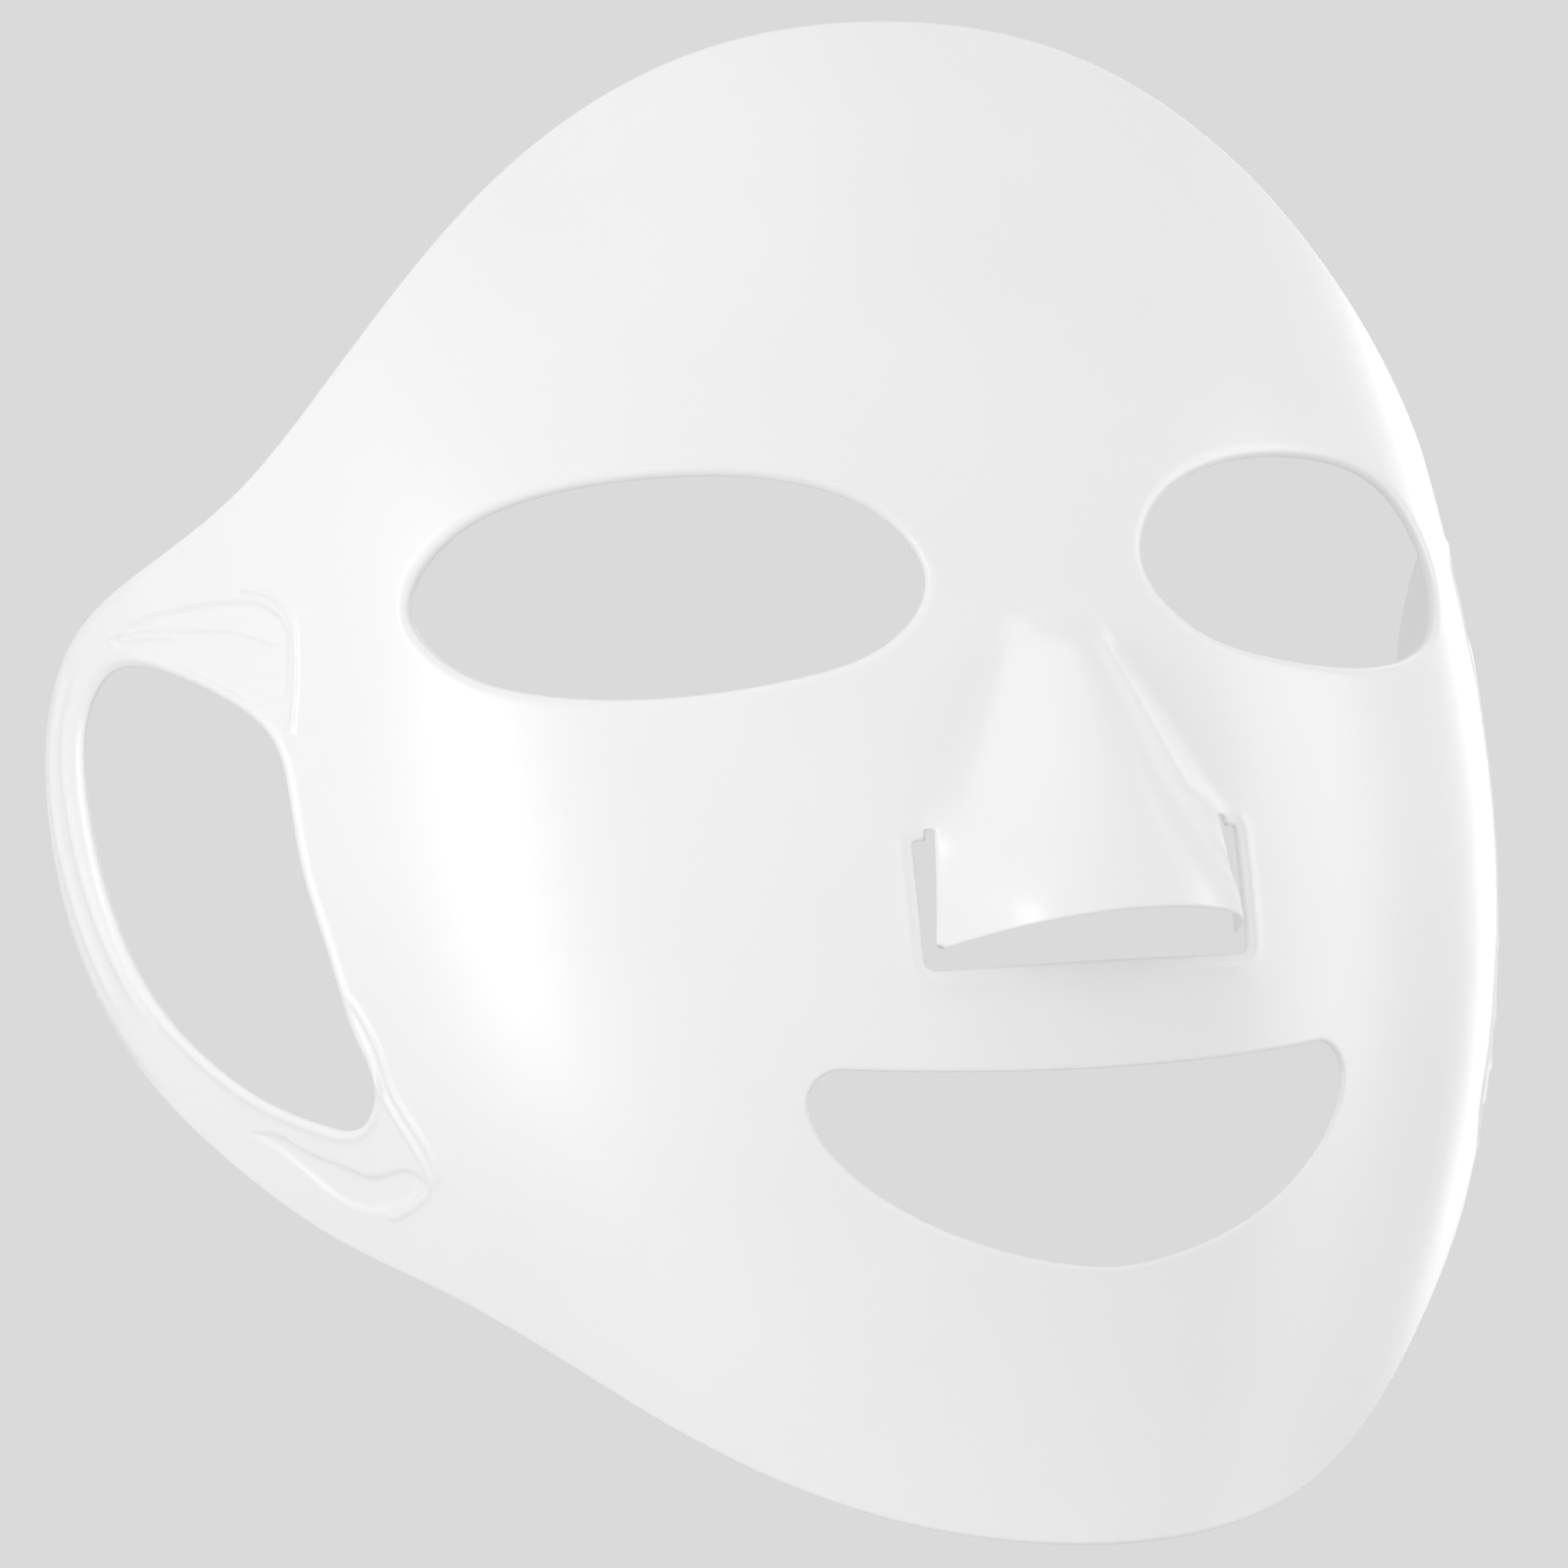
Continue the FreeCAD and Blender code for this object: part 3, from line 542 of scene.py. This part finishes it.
def silicone():
    """Milky satin silicone: faint clouding in the colour, and the mould's fine grain."""
    material = bpy.data.materials.new("silicone")
    material.use_nodes = True
    nodes, links = material.node_tree.nodes, material.node_tree.links
    shader = nodes["Principled BSDF"]
    shader.inputs["IOR"].default_value = 1.41
    shader.inputs["Specular IOR Level"].default_value = 0.8
    place = nodes.new("ShaderNodeTexCoord")

    cloud = nodes.new("ShaderNodeTexNoise")
    cloud.inputs["Scale"].default_value = 28.0
    cloud.inputs["Detail"].default_value = 3.0
    tint = nodes.new("ShaderNodeValToRGB")
    tint.color_ramp.elements[0].position = 0.3
    tint.color_ramp.elements[0].color = (0.872, 0.87, 0.87, 1.0)
    tint.color_ramp.elements[1].position = 0.7
    tint.color_ramp.elements[1].color = (0.888, 0.888, 0.888, 1.0)
    links.new(place.outputs["Object"], cloud.inputs["Vector"])
    links.new(cloud.outputs["Fac"], tint.inputs["Fac"])
    links.new(tint.outputs["Color"], shader.inputs["Base Color"])

    wear = nodes.new("ShaderNodeTexNoise")
    wear.inputs["Scale"].default_value = 90.0
    wear.inputs["Detail"].default_value = 4.0
    gloss = nodes.new("ShaderNodeMapRange")
    gloss.inputs["To Min"].default_value = 0.28
    gloss.inputs["To Max"].default_value = 0.34
    links.new(place.outputs["Object"], wear.inputs["Vector"])
    links.new(wear.outputs["Fac"], gloss.inputs["Value"])
    links.new(gloss.outputs["Result"], shader.inputs["Roughness"])

    grain = nodes.new("ShaderNodeTexNoise")
    grain.inputs["Scale"].default_value = 2600.0
    grain.inputs["Detail"].default_value = 2.0
    relief = nodes.new("ShaderNodeBump")
    relief.inputs["Strength"].default_value = 0.12
    relief.inputs["Distance"].default_value = 0.00005
    links.new(place.outputs["Object"], grain.inputs["Vector"])
    links.new(grain.outputs["Fac"], relief.inputs["Height"])
    links.new(relief.outputs["Normal"], shader.inputs["Normal"])
    return material


SILICONE = silicone()


# ------------------------------------------------------------------ pieces

def directed_edges(faces):
    """Start and end of every edge of the triangles."""
    return np.vstack([faces[:, (0, 1)], faces[:, (1, 2)], faces[:, (2, 0)]])


def rim_of(faces):
    """Edges that only one triangle has, in that triangle's direction."""
    edges = directed_edges(faces)
    there = set(map(tuple, edges.tolist()))
    return [(a, b) for a, b in there if (b, a) not in there]


sheet_rim = set(rim_of(triangles))


def build_piece(name, faces):
    """Closed mesh object of part of the sheet."""
    used = np.unique(faces)
    count = len(used)
    outer_place = {old: new for new, old in enumerate(used.tolist())}
    inner_place = dict(outer_place)
    points = [outside[used]]
    extra = [old for old in used.tolist() if not free[old]]
    for new, old in enumerate(extra):
        inner_place[old] = count + new
    points.append(within[extra])
    corner_sets = [[outer_place[i] for i in face] for face in faces.tolist()]
    normals = [outside_normal[i] for face in faces.tolist() for i in face]
    corner_sets += [[inner_place[i] for i in face[::-1]] for face in faces.tolist()]
    normals += [within_normal[i] for face in faces.tolist() for i in face[::-1]]
    for a, b in rim_of(faces):
        if (a, b) in sheet_rim:
            continue
        wall = [outer_place[b], outer_place[a]]
        wall += [place for place in (inner_place[a], inner_place[b]) if place not in wall]
        if len(wall) < 3:
            continue
        corners = [(outside[b] if w == outer_place[b] else outside[a]) for w in wall[:2]]
        flat = np.cross(corners[1] - corners[0], within[b] - corners[0] + within[a] - corners[1])
        flat = flat / (np.linalg.norm(flat) + 1e-30)
        corner_sets.append(wall)
        normals += [flat] * len(wall)
    mesh = bpy.data.meshes.new(name)
    mesh.from_pydata(np.vstack(points).tolist(), [], corner_sets)
    mesh.polygons.foreach_set("use_smooth", [True] * len(mesh.polygons))
    mesh.normals_split_custom_set([tuple(n) for n in normals])
    mesh.materials.append(SILICONE)
    mesh.update()
    piece = bpy.data.objects.new(name, mesh)
    bpy.context.scene.collection.objects.link(piece)
    return piece


joints = {joint["name"]: joint for joint in frame["joints"]}
centres = (outside[triangles].mean(axis=1) + within[triangles].mean(axis=1)) / 2.0
flat_centres = pattern[triangles].mean(axis=1)
owner = np.zeros(len(triangles), int)       # 0 is the face itself
pieces = {}

ROOT_HALF = 7.0 * MM


def bend_frame(side_name):
    """Pivot of a loop's fold and the direction in which the sheet runs over it."""
    joint = joints["loop_fold_" + side_name]
    sign = 1.0 if side_name == "left" else -1.0
    pivot = Vector(joint["pos_m"])
    fold_normal = sheet_normal(np.array([sign * 104.0]), np.array([-33.5]))[0]
    run = Vector(joint["axis"]).cross(Vector(fold_normal)).normalized()
    if run.y < 0.0:
        run = -run
    return pivot, run


for number, side_name in ((1, "left"), (2, "right")):
    pivot, run = bend_frame(side_name)
    sign = 1.0 if side_name == "left" else -1.0
    past = (centres - np.array(pivot)) @ np.array(run)
    here = centres[:, 0] * sign > 0.0
    owner[here & (past > -ROOT_HALF)] = number
    owner[here & (past > ROOT_HALF)] = number + 2
hood_top = HINGE + 3.7
in_hood = (np.abs(flat_centres[:, 0]) < (SLOT_HALF + HOOD_HALF_TOP) / 2.0) & (flat_centres[:, 1] < hood_top) \
    & (flat_centres[:, 1] > SLOT_BOTTOM)
owner[in_hood] = 5

names = ["face_skin", "loop_root_left", "loop_root_right", "ear_loop_left", "ear_loop_right",
         "nose_hood_skin"]
for number, name in enumerate(names):
    pieces[name] = build_piece(name, triangles[owner == number])

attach(pieces["face_skin"], "mask")
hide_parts("forehead", "glabella", "upper_lip", "chin", "nose_bridge")
for side_name in ("left", "right"):
    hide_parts(*[part + side_name for part in
                                       ("temple_", "inner_cheek_", "outer_cheek_", "jaw_", "eye_lip_")])
    root = pieces["loop_root_" + side_name]
    pivot, run = bend_frame(side_name)
    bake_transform(root)
    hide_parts("upper_fold_strip_" + side_name, "lower_fold_strip_" + side_name)
    loop = pieces["ear_loop_" + side_name]
    pull = Vector(joints["band_stretch_" + side_name]["axis"])
    pull = (pull + Vector((0.0, 0.0, -0.15))).normalized()
    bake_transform(loop)
    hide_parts(*[part + side_name for part in
                        ("upper_arm_", "lower_arm_", "upper_web_", "lower_web_", "upper_neck_", "lower_neck_",
                         "web_rib_1_", "ear_band_", "band_outer_ridge_",
                         "band_inner_ridge_")])
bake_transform(pieces["nose_hood_skin"])
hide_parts("nose_hood", "hood_flex_strip")


# ------------------------------------------------------------------ floor, light, camera

BACKDROP = (0.701, 0.701, 0.701)
FACE = (0.0, 0.03, -0.02)                   # point that every light faces


def plain(name, colour, roughness):
    """Plain material for the studio."""
    material = bpy.data.materials.new(name)
    material.use_nodes = True
    shader = material.node_tree.nodes["Principled BSDF"]
    shader.inputs["Base Color"].default_value = (*colour, 1.0)
    shader.inputs["Roughness"].default_value = roughness
    return material


def studio_floor():
    """Plain pale floor under the object."""
    floor, reach, around = -0.24, 6.0, 96
    angles = [2.0 * math.pi * step / around for step in range(around)]
    rim = [(reach * math.cos(angle), reach * math.sin(angle), floor) for angle in angles]
    mesh = bpy.data.meshes.new("studio_floor")
    mesh.from_pydata(rim, [], [tuple(range(around))])
    mesh.materials.append(plain("studio_paper", (0.72, 0.72, 0.72), 0.95))
    ground = bpy.data.objects.new("studio_floor", mesh)
    bpy.context.scene.collection.objects.link(ground)


def soft_light(name, place, target, size, power):
    """Square area light that faces a point."""
    data = bpy.data.lights.new(name, "AREA")
    data.shape = "RECTANGLE"
    data.size, data.size_y = size
    data.energy = power
    light = bpy.data.objects.new(name, data)
    light.location = place
    light.rotation_euler = (Vector(target) - Vector(place)).to_track_quat("-Z", "Y").to_euler()
    bpy.context.scene.collection.objects.link(light)


def photo_camera():
    """Long lens, a little below the object and on its right-hand side."""
    azimuth, elevation, roll = math.radians(-23.94), math.radians(-4.77), math.radians(-4.84)
    target, distance = Vector((-0.0344, 0.019, -0.0228)), 1.425
    back = Vector((math.sin(azimuth) * math.cos(elevation), -math.cos(azimuth) * math.cos(elevation),
                   math.sin(elevation)))
    right = Vector((0, 0, 1)).cross(back).normalized()
    up = back.cross(right)
    x_axis = right * math.cos(roll) + up * math.sin(roll)
    y_axis = up * math.cos(roll) - right * math.sin(roll)
    turn = Matrix((x_axis, y_axis, back)).transposed().to_4x4()
    data = bpy.data.cameras.new("camera")
    data.sensor_width = 36.0
    data.lens = 229.5
    camera = bpy.data.objects.new("camera", data)
    camera.matrix_world = Matrix.Translation(target + back * distance) @ turn
    bpy.context.scene.collection.objects.link(camera)
    bpy.context.scene.camera = camera


def surroundings():
    """Plain pale grey all round."""
    world = bpy.data.worlds.new("surroundings")
    world.use_nodes = True
    background = world.node_tree.nodes["Background"]
    background.inputs["Color"].default_value = (*BACKDROP, 1.0)
    background.inputs["Strength"].default_value = 1.0
    bpy.context.scene.world = world


studio_floor()
surroundings()
soft_light("fill", (-0.3, -1.9, -0.02), FACE, (1.8, 1.3), 3.8)
soft_light("key", (-1.25, -0.42, -0.02), FACE, (0.26, 1.5), 8.5)
soft_light("side", (1.6, -0.5, 0.15), FACE, (0.8, 1.6), 9.0)
soft_light("rim", (1.1, 1.0, 0.3), FACE, (0.4, 1.5), 3.0)
soft_light("top", (-0.1, -0.5, 1.4), FACE, (0.8, 0.8), 1.2)
photo_camera()
bpy.context.scene.view_settings.view_transform = "Standard"
